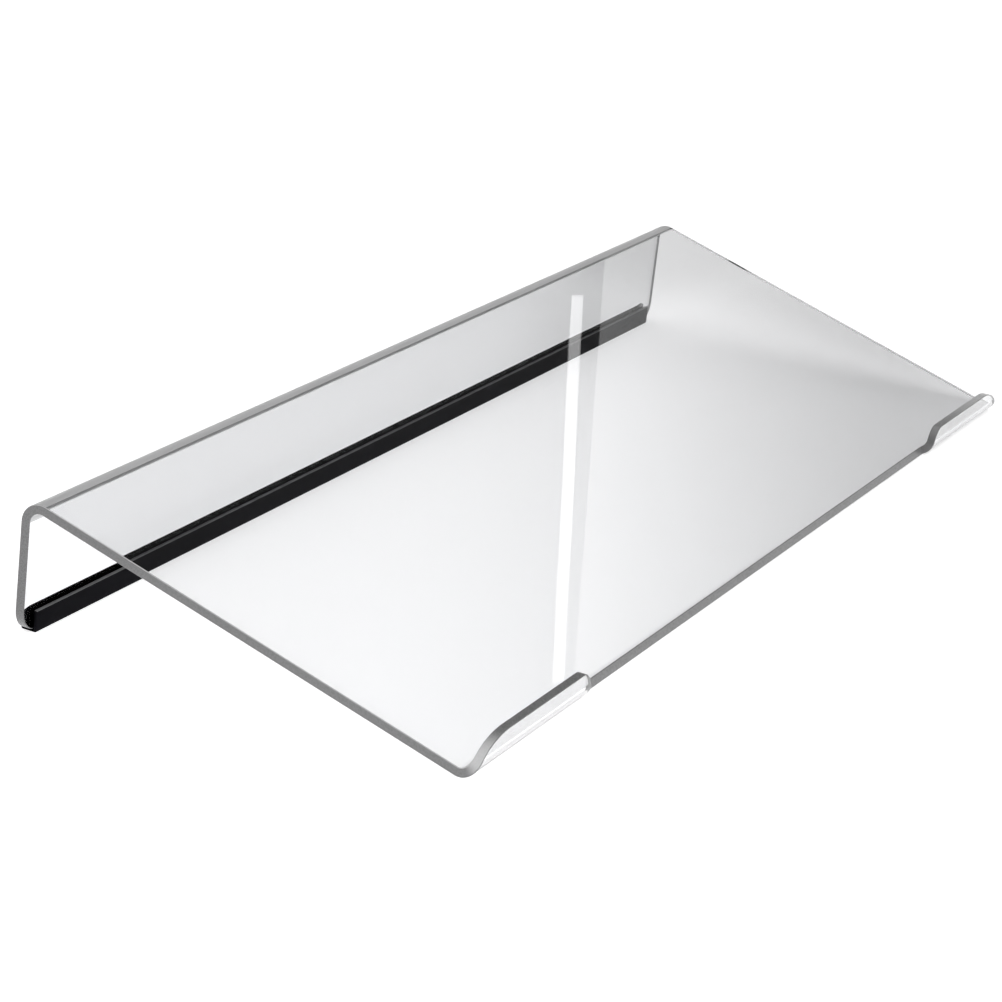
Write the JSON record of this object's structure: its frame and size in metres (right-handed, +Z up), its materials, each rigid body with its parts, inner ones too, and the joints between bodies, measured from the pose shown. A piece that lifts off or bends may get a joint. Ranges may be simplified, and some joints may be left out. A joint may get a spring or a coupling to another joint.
{
  "type": "sloping keyboard stand",
  "caption": "Clear acrylic desk stand bent from one sheet: a shelf sloping down to upturned front lips, with a rear leg edged in a black rubber channel.",
  "frame": {"origin": "middle of the footprint, on the desk surface", "axes": "+X along the width, +Y from the front lips to the rear leg, +Z up"},
  "size_m": [0.45, 0.1582, 0.0431],
  "materials": {
    "clear_acrylic": "clear, polished faces, satin cut edges",
    "black_rubber": "satin black"
  },
  "bodies": {
    "root": {"clear_bent_sheet": "clear_acrylic", "rear_edge_trim": "black_rubber"}
  },
  "joints": []
}
